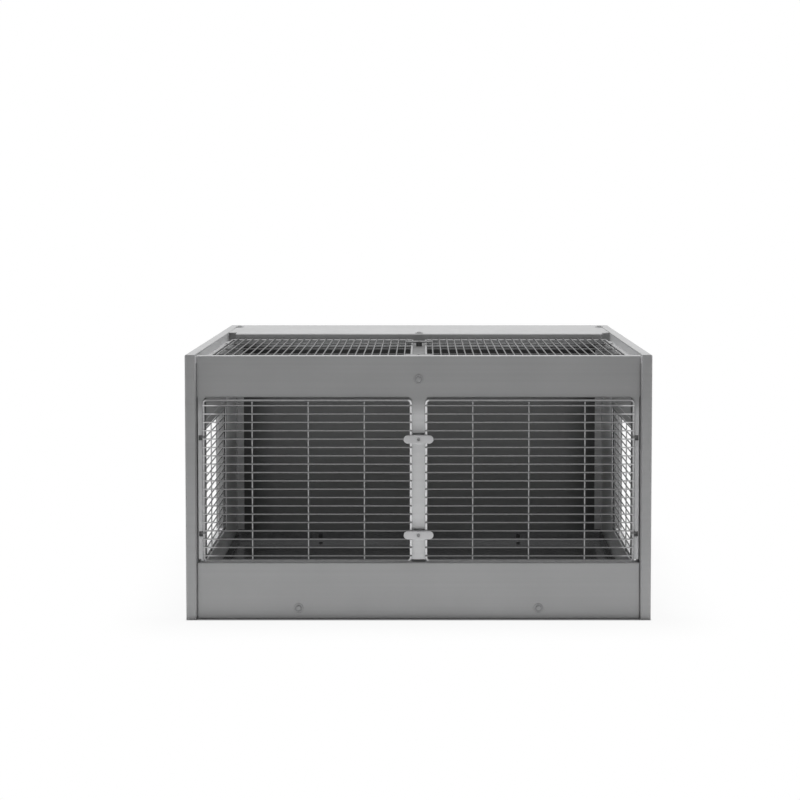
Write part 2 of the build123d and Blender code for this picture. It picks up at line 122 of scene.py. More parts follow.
# Small chamfers, as shares of a latch's rounding and of a strap's thickness
latch_ease, strap_ease = 0.25, 0.2

# Length of the drill for the tray's holes, in thicknesses of its sheet
drill_sheets = 4

# How strongly a board's large faces set the shading of its chamfers, on Blender's scale
large_face_weight = 100

# Head of a rivet from its rim to its middle: shares of its radius, and of the recess's depth below its top
rivet_head_profile = ((1, 0.3), (0.92, 0), (0.7, 0), (0.55, 0.2), (0.45, 1), (0, 1))

# Screw: shares of the shank's radius at its tip, and of the washer's or dome's radius and the head's height
tip_radius, tip_length = 0.6, 0.5
washer_profile = ((0.97, 0), (1, 0.06), (1, 0.20), (0.95, 0.34), (0.86, 0.42), (0.76, 0.42), (0.66, 0.32))
dome_profile = ((1.12, 0.20), (1, 0.22), (0.99, 0.42), (0.90, 0.68), (0.70, 0.87), (0.40, 0.97), (0, 1))

# Share of a face's normal along an axis over which the face comes to count as facing that way
squarely = (0.8, 0.9)

# Where one painted tone of light or shade turns into another: distances from the edge of a piece, or
# heights
tray_blend, strip_blend, rim_blend, window_blend = 0.003, 0.004, 0.002, 0.01
corner_start, corner_end = 0.10, 0.03
flange_start, flange_end = 0.004, 0.002
bar_end_start, bar_end_end = 0.035, 0.025
sill_heights = (0.25, 0.3)
lit_heights, unlit_heights = (0.27, 0.34), (0.5, 0.54)

# Size of the crystals on plated sheet, as cells in a metre
crystals = 95.0


def extent(node, axis):
    """Length of a solid's box along an axis."""
    low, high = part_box(node)
    return high[axis] - low[axis]


def middle(node):
    """Middle of a solid's box."""
    low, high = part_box(node)
    return (low + high) / 2


def third_axis(first, second):
    """The axis that is neither of two."""
    return x_axis + y_axis + z_axis - first - second


def number(name, description, default, **kind):
    """Setting for a number."""
    return FloatProperty(name=name, description=description, default=default, **kind)


def metres(name, description, default):
    """Setting for a length."""
    return number(name, description, default, unit="LENGTH")


def degrees(name, description, default):
    """Setting for an angle, given in degrees."""
    return number(name, description, radians(default), subtype="ANGLE")


def paler(name, places, default):
    """Setting for how many times paler one place is than another."""
    return number(name, f"How many times paler {places}", default)


def whole(name, description, default, least):
    """Setting for a whole number."""
    return IntProperty(name=name, description=description, default=default, min=least)


def numbers(name, description, default, **kind):
    """Setting for several numbers."""
    return FloatVectorProperty(
        name=name, description=description, size=len(default), default=default, **kind
    )


def paint(name, pieces, default):
    """Setting for the colour of some pieces."""
    return numbers(name, f"Colour of {pieces}", default, subtype="COLOR")


class HutchEdges(bpy.types.PropertyGroup):
    """Softness of the boards' and sheets' edges."""

    sheet: metres("Sheet edge", "Rounding of the sheet metal's edges", 0.0004)
    steps: whole("Edge steps", "Faces across a rounded edge", 2, 1)
    sharp: degrees("Sharp angle", "Least angle of a sheet's edge that is rounded", 25)
    eased: degrees("Eased angle", "Greatest angle of a board's edge that is shaded as rounded", 50)


class HutchTray(bpy.types.PropertyGroup):
    """Folded sheet of the litter tray."""

    sheet: metres("Sheet", "Thickness of the tray's sheet", extent("tray_floor", z_axis))
    fold: metres("Fold", "Outer radius of the folds", 0.003)
    corner: metres("Corner", "Radius of the upright corners", 0.005)
    steps: whole("Fold steps", "Faces across a fold", 5, 2)
    hole_spacing: metres("Hole spacing", "Distance between the holes of a flange", 0.517)
    hole_height: metres("Hole height", "Height of the holes over the foot of the tray", 0.013)
    rear_hole: metres("Rear hole", "Radius of the holes in the rear flange", 0.0055)
    front_hole: metres("Front hole", "Radius of the screw holes in the front flange", 0.0031)


class HutchWire(bpy.types.PropertyGroup):
    """Round wire of the doors, lids and windows."""

    sides: whole("Wire sides", "Faces round a wire", 16, 6)
    corner: metres("Corner", "Bend radius of the frame wires' corners", 0.007)
    corner_steps: whole("Corner steps", "Faces round a corner", 10, 3)
    door_bars: whole("Door bars", "Bars across a door", 19, 2)
    lid_bars: whole("Lid bars", "Bars along a lid", 24, 2)
    window_bars: whole("Window bars", "Bars across a window", 17, 2)
    cross_wires: whole("Cross wires", "Widely spaced wires behind the bars of a panel", 3, 2)
    weld_reach: metres("Weld reach", "Radius of a weld in the plane of its panel", 0.0021)
    weld_rise: metres("Weld rise", "Half of a weld's thickness", 0.0011)


class HutchFittings(bpy.types.PropertyGroup):
    """Latches, rivets, hinge clips and domed screws."""

    plate: metres("Latch plate", "Thickness of a latch", 0.0034)
    latch_edge: metres("Latch edge", "Rounding of a latch's front edge", 0.0012)
    boss: metres("Latch boss", "Radius of the boss behind a latch", 0.007)
    recess: metres("Latch recess", "Radius of the recess for the rivet", 0.0039)
    recess_depth: metres("Recess depth", "Depth of the recess for the rivet", 0.0012)
    rivet: metres("Rivet", "Radius of a rivet's shank", 0.0025)
    rivet_play: number("Rivet play", "How many times wider a latch's hole is than its rivet", 1.02)
    rivet_head: metres("Rivet head", "Radius of a rivet's head", 0.0034)
    rivet_tail: metres("Rivet tail", "Length of a rivet inside the board", 0.014)
    strap: metres("Clip strap", "Thickness of a clip's strap", 0.0014)
    ring_height: metres("Clip ring", "Width of the strap round the wire", 0.005)
    tail_height: metres("Clip tail", "Width of the strap on the pocket's floor", 0.011)
    washer: metres("Screw washer", "Radius of a screw's dished washer", 0.0105)
    dome: metres("Screw dome", "Radius of a screw's domed middle", 0.006)
    screw_head: metres("Screw head", "Height of a screw's head", 0.004)
    shank: metres("Screw shank", "Radius of a screw's shank", 0.003)
    frame_screw: metres("Frame screw", "Length of the rail and roof screws", 0.039)
    rail_screw_drop: metres("Rail screw drop", "Drop of the rail screw below the rail's top", 0.050)
    roof_screw_edge: metres("Roof screw edge", "From the roof's front edge to its middle screw", 0.013)
    steps: whole("Round steps", "Faces round a turned fitting", 32, 8)


class HutchFinishes(bpy.types.PropertyGroup):
    """Colours of the hutch's finishes, and their tones, most of them painted light and shade."""

    board: paint("Grey board", "the boards", (0.375, 0.377, 0.380))
    latch: paint("Latch plastic", "the doors' latches", (0.64, 0.64, 0.65))
    # The lids' latches are the doors' latch plastic in a darker copy: painted shade
    lid_latch: paint("Lid latch", "the lids' latches", (0.16, 0.16, 0.163))
    wire: paint("Mesh wire", "the doors' and windows' bars", (0.25, 0.25, 0.252))
    lid_wire: paint("Lid wire", "the lids' bars and cross wires", (0.17, 0.17, 0.172))
    # The frame wire's colour is the painted shade at a door frame's foot; the tones make the rest paler
    frame_wire: paint("Frame wire", "the doors' and lids' frame wires", (0.175, 0.175, 0.177))
    # The doors' uprights are the bars' wire in a paler copy: painted light from the sides
    upright: paint("Upright wire", "the doors' uprights", (0.34, 0.34, 0.343))
    sheet: paint("Galvanised sheet", "the sheet metal", (0.27, 0.272, 0.275))
    trim: paint("Dull trim", "the window trims and corner angles", (0.50, 0.50, 0.505))
    clip: paint("Hinge clip", "the hinge clips", (0.2, 0.2, 0.202))
    fastener: paint("Fastener", "the screws and rivets", (0.29, 0.292, 0.295))
    post: paler("Post", "the front's post and jambs are than its rail", 1.9)
    post_blend: metres("Post blend", "Height over which the post's tone turns into the rail's", 0.035)
    # Painted shade on the front frame's cut faces beside the doors
    doorway_shade: paler("Doorway edges", "the cut edges beside the doors are than the front", 0.15)
    # The back board's darker tone is painted shade of the hutch's inside
    back: paler("Back", "the back board is than the other boards", 0.62)
    # Painted shade above the doors under the roof, and a painted lit strip right under the roof
    under_roof: paler("Under the roof", "the back board is above the doors than below", 0.08)
    roof_strip_light: paler("Strip under the roof", "the back board's top strip is than below it", 46.0)
    strip_height: metres("Strip height", "How far the back board's pale strip reaches down", 0.030)
    # Painted shade behind the tray and in the back board's corners
    behind_tray_shade: paler("Behind the tray", "the back board is behind the tray than above it", 0.1)
    corner: paler("Back corners", "the back board is in its corners than in its middle", 0.3)
    # Painted shade on the bar between the lids
    centre_bar: paler("Centre bar", "the bar between the lids is than the other boards", 0.3)
    centre_gloss: number("Centre bar gloss", "Share of a board's gloss on the bar between the lids", 0.4)
    # Painted light on the up-facing cut edge at a window's foot, and on the side boards' inner faces
    sill: paler("Window sill", "the cut edge at a window's foot is than its board", 3.0)
    inner_rim_light: paler("Inner rim", "a side board's inner face is above the lids than below", 1.85)
    behind_window_light: paler("Behind the window", "a side's inner face is behind its window than before", 2.2)
    # Painted shade on the bars at the doors' foot, and painted light on their ends by the windows
    low_bars: paler("Low bars", "the bars are at the doors' foot than at their top", 0.65)
    bar_end_light: paler("Bar ends", "the bars are by the windows than in the doors' middle", 2.2)
    # Painted shade on the rear of the lids' wires
    lid_rear: paler("Lid wires' rear", "the lids' wires are at the rear than in front", 0.5)
    lid_frame: paler("Lid frame", "the lids' frames are than the foot of a door's frame", 2.3)
    # Painted shade at the foot of a door's frame, and painted light along its hinge and beside the post
    frame_top: paler("Door frame top", "a door's frame is above than at its foot", 1.5)
    frame_hinge: paler("Door frame at the hinge", "a door's frame is along its hinge than above", 1.6)
    frame_post: paler("Door frame at the post", "a door's frame is beside the post than above", 2.65)
    # Painted shade on the tray's rear flange
    rear_flange: paler("Rear flange", "the tray's rear flange is than its floor", 0.75)


class HutchStudio(bpy.types.PropertyGroup):
    """Camera, lamps and floor."""

    place: numbers(
        "Camera place", "Where the camera stands", (0.0097, -3.5625, 0.8962), subtype="TRANSLATION"
    )
    pitch: degrees("Camera pitch", "How far the camera looks down", 2.5)
    lens: number("Lens", "Focal length in millimetres", 67.07)
    shift: numbers("Lens shift", "Shift of the view, as a share of its width", (-0.0288, -0.1643))
    lamp_size: numbers("Lamp size", "Width and depth of the lamp overhead", (3.0, 0.7))
    lamp_height: metres("Lamp height", "Height of the lamp", 3.0)
    lamp_power: number("Lamp power", "Power of the lamp overhead", 64.0, unit="POWER")
    table_reach: metres("Light table reach", "Reach of the lit table top round the hutch", 0.7)
    table_gap: metres("Light table gap", "Unlit strip of the table top at the hutch's foot", 0.006)
    table_height: metres("Light table height", "Height of the lit table top", 0.004)
    table_glow: number("Light table glow", "Power of the lit table top, in watts for a square metre", 1.82)
    sky: number("Sky light", "Strength of the light from straight above", 0.76)
    sky_start: number("Sky start", "Sine of the height from which the sky gives light", 0.5)
    flank: number("Side light", "Strength of the light from straight aside", 1.2)
    flank_start: number("Side start", "Cosine of the angle to straight aside within which light comes", 0.8)
    floor: paint("Floor", "the floor", (0.85, 0.85, 0.85))
    floor_radius: metres("Floor radius", "Reach of the floor", 30.0)
    shadow_reach: metres("Shadow reach", "How far from the hutch the floor shows its shadow", 0.2)
    foot_edge: metres("Foot edge", "Strip round the foot in which the hutch's full shade ends", 0.002)
    shadow_share: number(
        "Shadow share", "How strongly the floor shows the shadow at the hutch's foot", 0.1, subtype="FACTOR"
    )


class HutchSettings(bpy.types.PropertyGroup):
    """All settings of the hutch."""

    edges: PointerProperty(type=HutchEdges, name="Edges", description="Rounding of edges")
    tray: PointerProperty(type=HutchTray, name="Tray", description="Litter tray")
    wire: PointerProperty(type=HutchWire, name="Wire", description="Doors, lids and windows")
    fittings: PointerProperty(type=HutchFittings, name="Fittings", description="Latches, clips and screws")
    finishes: PointerProperty(type=HutchFinishes, name="Finishes", description="Colours and tones")
    studio: PointerProperty(type=HutchStudio, name="Studio", description="Camera and lamps")


def settings():
    """The hutch's settings on the scene."""
    return bpy.context.scene.hutch


def feed(tree, socket, value):
    """Link another node's output to a socket, or set the socket to a plain value."""
    if isinstance(value, bpy.types.NodeSocket):
        tree.links.new(value, socket)
    else:
        socket.default_value = value


def add_node(tree, kind, *values, **given):
    """New node of a tree, with its first inputs fed in order and others by name.

    A name in lower case is one of the node's own settings. A space in an input's name is an underscore.
    """
    node = tree.nodes.new(kind)
    for socket, value in zip(node.inputs, values):
        feed(tree, socket, value)
    for name, value in given.items():
        if name.islower():
            setattr(node, name, value)
        else:
            feed(tree, node.inputs[name.replace("_", " ")], value)
    return node


class ShaderNodes:
    """Nodes of a material or world in the making."""

    def __init__(self, owner, coordinates):
        owner.use_nodes = True
        self.tree = owner.node_tree
        self.place = self.node("TexCoord").outputs[coordinates]

    def node(self, kind, *values, **given):
        """New shader node."""
        return add_node(self.tree, f"ShaderNode{kind}", *values, **given)

    def maths(self, operation, *values):
        """Values joined one after another by a sum, product or the like."""
        joined = values[0]
        for value in values[1:]:
            joined = self.node("Math", joined, value, operation=operation).outputs["Value"]
        return joined

    def times(self, *values):
        """Product of values."""
        return self.maths("MULTIPLY", *values)

    def plus(self, *values):
        """Sum of values."""
        return self.maths("ADD", *values)

    def vector(self, operation, *values, **given):
        """Vector from a Vector Math node."""
        return self.node("VectorMath", *values, operation=operation, **given).outputs["Vector"]

    def spread(self, value, low, high, start=0.3, end=0.7):
        """Value brought from one range, or else from that of a noise, to another."""
        node = self.node("MapRange", Value=value, From_Min=start, From_Max=end, To_Min=low, To_Max=high)
        return node.outputs["Result"]

    def part(self, vector, axis):
        """Part of a vector along an axis."""
        return self.node("SeparateXYZ", Vector=vector).outputs[axis]

    def along(self, axis):
        """Coordinate along an axis."""
        return self.part(self.place, axis)

    def off_middle(self):
        """Distance from the middle plane between left and right."""
        return self.part(self.vector("ABSOLUTE", self.place), "X")

    def seen(self):
        """Value that is 1 for rays from the camera, a mirror or glass."""
        rays = self.node("LightPath").outputs
        names = ("Is Camera Ray", "Is Glossy Ray", "Is Transmission Ray")
        return self.maths("MAXIMUM", *[rays[name] for name in names])


class Finish(ShaderNodes):
    """Material in the making: its textures and the shader that they feed."""

    def __init__(self, name):
        self.material = bpy.data.materials.new(name)
        super().__init__(self.material, "Object")
        self.shader = self.tree.nodes["Principled BSDF"]

    def surface(self, **inputs):
        """Set or link inputs of the shader, and give the finished material."""
        for name, value in inputs.items():
            feed(self.tree, self.shader.inputs[name.replace("_", " ")], value)
        return self.material

    def noise(self, scale, detail=2.0, stretch=(1, 1, 1)):
        """Smooth noise on the object, about 0.5."""
        place = self.node("Mapping", Vector=self.place, Scale=stretch).outputs["Vector"]
        return self.node("TexNoise", Vector=place, Scale=scale, Detail=detail).outputs["Fac"]

    def cells(self, scale, low, high):
        """Random value of each crystal-like cell, from low to high."""
        colour = self.node("TexVoronoi", Vector=self.place, Scale=scale).outputs["Color"]
        return self.spread(self.node("SeparateColor", Color=colour).outputs["Red"], low, high, 0.0, 1.0)

    def shaded(self, colour, *factors):
        """Colour times factors from textures and tones."""
        return self.vector("SCALE", colour[:], Scale=self.times(*factors))

    def facing(self, axis, low, high, both=True):
        """Low on faces that don't look along an axis, high on those that do, either way or only up it."""
        normal = self.node("NewGeometry").outputs["True Normal"]
        if both:
            normal = self.vector("ABSOLUTE", normal)
        return self.spread(self.part(normal, axis), low, high, *squarely)

    def relief(self, height, distance, strength, **under):
        """Bump from a height in metres, over another bump's Normal where that is given."""
        node = self.node("Bump", Height=height, Distance=distance, Strength=strength, **under)
        return node.outputs["Normal"]


def board_finish(finish, colour, tones, gloss=1):
    """Matt grey board: faint lengthwise streaks, soft mottling and a fine moulded grain."""
    mottle = finish.spread(finish.noise(7.0, 3.0), 0.965, 1.03)
    streaks = finish.spread(finish.noise(18.0, 2.0, (0.06, 0.06, 9.0)), 0.975, 1.02)
    specks = finish.spread(finish.noise(1100.0, 1.0), 0.975, 1.025)
    grain = finish.relief(finish.noise(900.0), 0.00006, 0.6)
    return finish.surface(
        Base_Color=finish.shaded(colour, mottle, streaks, specks, *tones),
        Roughness=finish.spread(finish.noise(60.0, 3.0), 0.42, 0.52),
        Specular_IOR_Level=0.5 * gloss,
        Coat_Weight=0.2 * gloss,
        Coat_Roughness=0.3,
        Normal=finish.relief(finish.noise(5.0, 1.0), 0.0004, 0.5, Normal=grain),
    )


def centre_bar_finish(finish, colour, tones):
    """Board of the bar between the lids, darker than the others by painted shade, and less glossy."""
    finishes = settings().finishes
    return board_finish(finish, colour, (finishes.centre_bar, *tones), finishes.centre_gloss)


def latch_finish(finish, colour, tones):
    """Moulded plastic with a satin grain."""
    return finish.surface(
        Base_Color=finish.shaded(colour, finish.spread(finish.noise(45.0, 3.0), 0.96, 1.03), *tones),
        Roughness=finish.spread(finish.noise(220.0), 0.36, 0.48),
        Specular_IOR_Level=0.45,
        Normal=finish.relief(finish.noise(1300.0), 0.00004, 0.5),
    )


def wire_finish(finish, colour, tones, roughness=(0.36, 0.52), **shine):
    """Zinc-plated wire: cloudy plating, a little dull, with fine drawing marks."""
    clouds = finish.spread(finish.noise(140.0, 4.0), 0.86, 1.10)
    return finish.surface(
        Base_Color=finish.shaded(colour, clouds, *tones),
        Roughness=finish.spread(finish.noise(420.0, 3.0), *roughness),
        Normal=finish.relief(finish.noise(1500.0), 0.00004, 0.5),
        **(shine or {"Metallic": 0.85}),
    )


def lid_wire_finish(finish, colour, tones):
    """Dull zinc wire of the lids, weathered to a plain grey."""
    return wire_finish(finish, colour, tones, (0.50, 0.62), Specular_IOR_Level=0.3)


def plated(finish):
    """Faint tones of a plated sheet's crystals and clouds."""
    return finish.cells(crystals, 0.95, 1.04), finish.spread(finish.noise(9.0), 0.95, 1.04)


def sheet_finish(finish, colour, tones):
    """Galvanised sheet with crystal-like spangles."""
    return finish.surface(
        Base_Color=finish.shaded(colour, *plated(finish), *tones),
        Metallic=0.85,
        Roughness=finish.cells(crystals, 0.19, 0.22),
        Normal=finish.relief(finish.noise(300.0), 0.00002, 0.2),
    )


def trim_finish(finish, colour, tones):
    """Dull plated sheet of the window trims and corner angles."""
    return finish.surface(
        Base_Color=finish.shaded(colour, *plated(finish), *tones),
        Metallic=0.6,
        Roughness=finish.spread(finish.noise(240.0, 3.0), 0.42, 0.52),
        Normal=finish.relief(finish.noise(600.0), 0.00003, 0.3),
    )


def fastener_finish(finish, colour, tones):
    """Plated steel of the screws, rivets and hinge clips."""
    return finish.surface(
        Base_Color=finish.shaded(colour, finish.spread(finish.noise(350.0, 3.0), 0.90, 1.08), *tones),
        Metallic=0.35,
        Roughness=finish.spread(finish.noise(700.0), 0.34, 0.46),
        Normal=finish.relief(finish.noise(1600.0), 0.00003, 0.4),
    )


def even_tone(finish):
    """One tone all over."""
    return ()


def front_tone(finish):
    """Tones of the front frame: post and jambs paler than the rail, with painted shade on the faces beside
    the doors.
    """
    finishes = settings().finishes
    rail_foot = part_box("left_door_frame")[1].z
    post = finish.spread(finish.along("Z"), finishes.post, 1, rail_foot - finishes.post_blend, rail_foot)
    # The faces that look sideways into the doorways get painted shade
    return post, finish.facing("X", 1, finishes.doorway_shade)


def back_tone(finish):
    """Painted shade and light on the back board: dark all over, darkest above the doors, in its corners and
    behind the tray, with a painted lit strip on top.
    """
    finishes = settings().finishes
    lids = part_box("left_lid_frame")[0].z
    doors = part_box("left_door_frame")[1].z
    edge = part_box("back_panel")[1].x
    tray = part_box("tray_end_flanges")[1].z
    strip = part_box("roof_plate")[0].z - finishes.strip_height
    height = finish.along("Z")
    # Painted shade behind the tray, above the doors and in the corners, and painted light on the top strip
    foot = finish.spread(height, finishes.behind_tray_shade, 1, tray - tray_blend, tray)
    start = doors - (lids - doors)
    above = finish.spread(height, 1, finishes.under_roof, start, doors)
    top = finish.spread(height, 1, finishes.roof_strip_light, strip, strip + strip_blend)
    corner = finish.spread(finish.off_middle(), 1, finishes.corner, edge - corner_start, edge - corner_end)
    return finishes.back, foot, above, top, corner


def side_tone(finish):
    """Painted light on a side board: a pale window sill, and an inner face that is paler above the lids and
    in a lit patch behind the window.
    """
    finishes = settings().finishes
    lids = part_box("left_lid_frame")[0].z
    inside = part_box("left_lid_ledge")[0].x
    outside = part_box("left_side_panel")[0].x
    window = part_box("left_window_trim")[1].y
    height = finish.along("Z")
    # Painted light on up-facing faces low down, above the lids and in a patch behind the window
    low = finish.spread(height, finishes.sill - 1, 0, *sill_heights)
    sill = finish.plus(1, finish.times(low, finish.facing("Z", 0, 1, both=False)))
    above = finish.spread(height, 0, finishes.inner_rim_light - 1, lids - rim_blend, lids)
    behind = finish.spread(finish.along("Y"), 0, finishes.behind_window_light - 1, window, window + window_blend)
    from_below = finish.spread(height, 0, 1, *lit_heights)
    lit = finish.times(from_below, finish.spread(height, 1, 0, *unlit_heights))
    inner = finish.spread(finish.off_middle(), 1, 0, -inside, -(inside + outside) / 2)
    extra = finish.times(finish.plus(above, finish.times(behind, lit)), inner, finish.facing("X", 0, 1))
    return sill, finish.plus(1, extra)


def bar_tone(finish):
    """Painted shade and light on the bars: darker towards the doors' foot, paler by the windows."""
    finishes = settings().finishes
    low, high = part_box("left_door_frame")
    rise = finish.spread(finish.along("Z"), finishes.low_bars, 1, low.z, high.z)
    ends = (1, finishes.bar_end_light, -low.x - bar_end_start, -low.x - bar_end_end)
    return rise, finish.spread(finish.off_middle(), *ends)


def lid_wire_tone(finish):
    """Painted shade on the lids' wires: darker behind the rear latch."""
    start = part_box("rear_lid_latch")[0].y
    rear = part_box("left_lid_frame")[1].y
    return (finish.spread(finish.along("Y"), 1, settings().finishes.lid_rear, start, rear),)


def lid_frame_tone(finish):
    """Tone of the lids' frames, set against the foot of a door's frame."""
    return (settings().finishes.lid_frame,)


def door_frame_tone(finish):
    """Painted shade and light on the doors' frames: dark at the foot, paler above and at the hinge, palest
    by the post.
    """
    finishes = settings().finishes
    low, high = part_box("left_door_frame")
    thick = high.y - low.y
    above = finish.spread(finish.along("Z"), 1, finishes.frame_top, low.z + thick, low.z + 3 * thick)
    aside = finish.off_middle()
    post = finish.spread(aside, finishes.frame_post, 1, thick - high.x, 2 * thick - high.x)
    hinge = finish.spread(aside, 1, finishes.frame_hinge, -low.x - 2 * thick, -low.x - thick)
    return above, post, hinge


def tray_tone(finish):
    """Painted shade on the tray's sheet: a darker rear flange."""
    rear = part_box("tray_end_flanges")[1].y
    flange = settings().finishes.rear_flange
    return (finish.spread(finish.along("Y"), 1, flange, rear - flange_start, rear - flange_end),)


# Each finish: what makes it, the setting of its colour, and its tones
finish_makers = {
    "grey_board": (board_finish, "board", even_tone),
    "front_frame": (board_finish, "board", front_tone),
    "back_panel": (board_finish, "board", back_tone),
    "side_panel": (board_finish, "board", side_tone),
    "top_centre_bar": (centre_bar_finish, "board", even_tone),
    "latch_plastic": (latch_finish, "latch", even_tone),
    "lid_latch": (latch_finish, "lid_latch", even_tone),
    "zinc_wire": (wire_finish, "wire", bar_tone),
    "upright_wire": (wire_finish, "upright", even_tone),
    "door_frame_wire": (wire_finish, "frame_wire", door_frame_tone),
    "frame_wire": (wire_finish, "frame_wire", lid_frame_tone),
    "lid_wire": (lid_wire_finish, "lid_wire", lid_wire_tone),
    "galvanised_sheet": (sheet_finish, "sheet", tray_tone),
    "dull_trim": (trim_finish, "trim", even_tone),
    "hinge_clip": (fastener_finish, "clip", even_tone),
    "dark_fastener": (fastener_finish, "fastener", even_tone),
}

# Finishes of the pieces that look different from the rest of their slot, many of them by painted light and
# shade
own_finish = {
    "front_frame": "front_frame",
    "back_panel": "back_panel",
    "side_panel": "side_panel",
    "top_centre_bar": "top_centre_bar",
    "front_lid_latch": "lid_latch",
    "rear_lid_latch": "lid_latch",
    "door_uprights": "upright_wire",
    "door_frame": "door_frame_wire",
    "lid_frame": "frame_wire",
    "lid_bars": "lid_wire",
    "lid_cross_wires": "lid_wire",
    "rear_corner_angle": "dull_trim",
    "window_trim": "dull_trim",
    "door_hinge_clips": "hinge_clip",
    "lid_hinge_clips": "hinge_clip",
}


def finish_name(node):
    """Name of the finish of a solid's piece, on whichever side it is."""
    return own_finish.get(node.removeprefix("left_").removeprefix("right_"), slot_of[node])


def finish_of(name):
    """Material of a finish, made when it is first needed."""
    known = bpy.data.materials.get(f"{name}_finish")
    if known:
        return known
    maker, colour, tone = finish_makers[name]
    finish = Finish(f"{name}_finish")
    return maker(finish, getattr(settings().finishes, colour), tone(finish))


def dress(name, mesh, body, slot, finish, *nodes):
    """Link a finished mesh as a piece that rides on a body and stands for solids."""
    mesh.materials.clear()
    mesh.materials.append(finish_of(finish))
    piece = bpy.data.objects.new(name, mesh)
    bpy.context.scene.collection.objects.link(piece)
    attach(piece, body)
    if nodes:
        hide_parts(*nodes)


def dress_node(name, mesh, node, *others):
    """Link a finished mesh in place of a solid, with that solid's body and finish."""
    dress(name, mesh, body_of[node], slot_of[node], finish_name(node), node, *others)


def to_mesh(shape, name, sharp=None):
    """Plain mesh of a bmesh, smooth between its sharp edges, or with flat faces."""
    mesh = bpy.data.meshes.new(name)
    shape.to_mesh(mesh)
    shape.free()
    if sharp is None:
        mesh.shade_flat()
    else:
        mesh.shade_smooth()
        mesh.set_sharp_from_angle(angle=sharp)
    return mesh


def merged(node):
    """Editable copy of a solid with whole flat faces."""
    shape = bmesh.new()
    shape.from_mesh(frame["nodes"][node].data)
    bmesh.ops.remove_doubles(shape, verts=shape.verts, dist=merge_distance)
    bmesh.ops.dissolve_limit(shape, angle_limit=flat_angle, verts=shape.verts, edges=shape.edges)
    return shape


def evaluated(piece):
    """Plain mesh of an object with its modifiers; the object itself is taken away."""
    bpy.context.scene.collection.objects.link(piece)
    mesh = bpy.data.meshes.new_from_object(piece.evaluated_get(bpy.context.evaluated_depsgraph_get()))
    bpy.data.objects.remove(piece)
    return mesh


def eased(node):
    """Mesh of a board whose narrow chamfers are shaded as soft roundings."""
    board = bpy.data.objects.new("board", to_mesh(merged(node), f"{node}_mesh", settings().edges.eased))
    weighted = board.modifiers.new("weighted", "WEIGHTED_NORMAL")
    weighted.weight = large_face_weight
    weighted.keep_sharp = True
    return evaluated(board)


def softened(node):
    """Mesh of a sheet with its edges rounded off, inside the solid's own faces."""
    edges = settings().edges
    shape = merged(node)
    sharp = [edge for edge in shape.edges if edge.is_manifold and edge.calc_face_angle() > edges.sharp]
    bmesh.ops.bevel(
        shape, geom=sharp, offset=edges.sheet, offset_type="OFFSET", segments=edges.steps, profile=0.5,
        affect="EDGES", clamp_overlap=True,
    )
    bmesh.ops.recalc_face_normals(shape, faces=shape.faces)
    return to_mesh(shape, f"{node}_mesh")


def lofted(loops, name, ring=False):
    """Mesh skinned over loops of equally many points, capped at both ends or closed to a ring."""
    shape = bmesh.new()
    rows = [[shape.verts.new(point) for point in loop] for loop in loops]
    pairs = list(zip(rows, rows[1:]))
    if ring:
        pairs.append((rows[-1], rows[0]))
    else:
        shape.faces.new(rows[0])
        shape.faces.new(rows[-1])
    for lower, upper in pairs:
        for index, point in enumerate(lower):
            after = (index + 1) % len(lower)
            shape.faces.new((point, lower[after], upper[after], upper[index]))
    bmesh.ops.remove_doubles(shape, verts=shape.verts, dist=merge_distance)
    bmesh.ops.dissolve_degenerate(shape, edges=shape.edges, dist=merge_distance)
    bmesh.ops.recalc_face_normals(shape, faces=shape.faces)
    return to_mesh(shape, name, round_angle)


def turned(profile, name):
    """Mesh turned about Z from a profile of radii and heights."""
    steps = settings().fittings.steps
    angles = [2 * pi * step / steps for step in range(steps)]
    loops = [[(radius * cos(angle), radius * sin(angle), z) for angle in angles] for radius, z in profile]
    return lofted(loops, name)


def slot_loop(half_span, radius, z):
    """Loop round a slot: two half circles whose centres lie half_span either side of the middle."""
    steps = settings().fittings.steps // 2
    points = []
    for side, start in ((1, -90), (-1, 90)):
        for step in range(steps + 1):
            angle = radians(start + 180 * step / steps)
            points.append((side * half_span + radius * cos(angle), radius * sin(angle), z))
    return points


def node_tree(name, **inputs):
    """Empty geometry tree with named inputs; a space in a name is written as an underscore."""
    tree = bpy.data.node_groups.new(name, "GeometryNodeTree")
    for label, kind in inputs.items():
        tree.interface.new_socket(label.replace("_", " "), in_out="INPUT", socket_type=f"NodeSocket{kind}")
    tree.interface.new_socket("Geometry", in_out="OUTPUT", socket_type="NodeSocketGeometry")
    return tree, tree.nodes.new("NodeGroupInput").outputs


def grow(tree, kind, **given):
    """First output of a new node of a geometry tree."""
    return add_node(tree, f"GeometryNode{kind}", **given).outputs[0]


def end_tree(tree, geometry, material):
    """End a tree in real geometry with its material set."""
    real = grow(tree, "RealizeInstances", Geometry=geometry)
    painted = grow(tree, "SetMaterial", Geometry=real, Material=material)
    tree.links.new(painted, tree.nodes.new("NodeGroupOutput").inputs["Geometry"])
    return tree


def round_wire(tree, given, path, **ends):
    """Round wire along a path, with a tree's own radius and number of sides."""
    section = grow(tree, "CurvePrimitiveCircle", Resolution=given["Sides"], Radius=given["Radius"])
    return grow(tree, "CurveToMesh", Curve=path, Profile_Curve=section, **ends)


def wires_tree():
    """Tree that lays one straight round wire from each place."""
    tree, given = node_tree(
        "Wires on places", Places="Geometry", Run="Vector", Radius="Float", Sides="Int", Material="Material"
    )
    wire = round_wire(tree, given, grow(tree, "CurvePrimitiveLine", End=given["Run"]), Fill_Caps=True)
    copies = grow(tree, "InstanceOnPoints", Points=given["Places"], Instance=wire)
    return end_tree(tree, copies, given["Material"])


